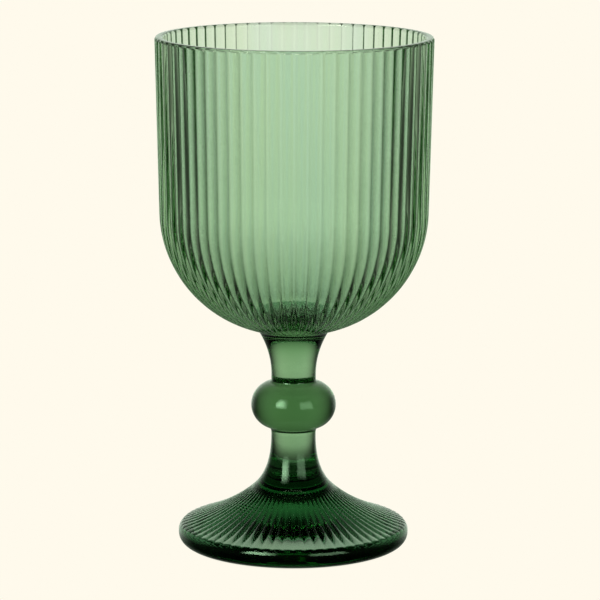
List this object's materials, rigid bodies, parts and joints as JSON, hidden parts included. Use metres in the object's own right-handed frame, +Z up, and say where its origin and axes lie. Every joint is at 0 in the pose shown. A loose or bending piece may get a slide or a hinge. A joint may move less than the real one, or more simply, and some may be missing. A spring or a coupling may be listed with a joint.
{
  "type": "goblet",
  "caption": "Free-standing drinking goblet of clear green pressed glass: tall reeded bowl with a plain rim, short stem with a round knop, wide reeded foot.",
  "frame": {"origin": "on the table, under the centre of the foot", "axes": "+Z up along the goblet's axis of symmetry, from the foot to the rim; X and Y are alike"},
  "size_m": [0.084, 0.084, 0.1558],
  "materials": {
    "green_glass": "clear polished green glass, pale where thin and dark where thick"
  },
  "bodies": {
    "root": {"foot": "green_glass", "lower_stem": "green_glass", "knop": "green_glass", "upper_stem": "green_glass", "bowl": "green_glass"}
  },
  "joints": []
}
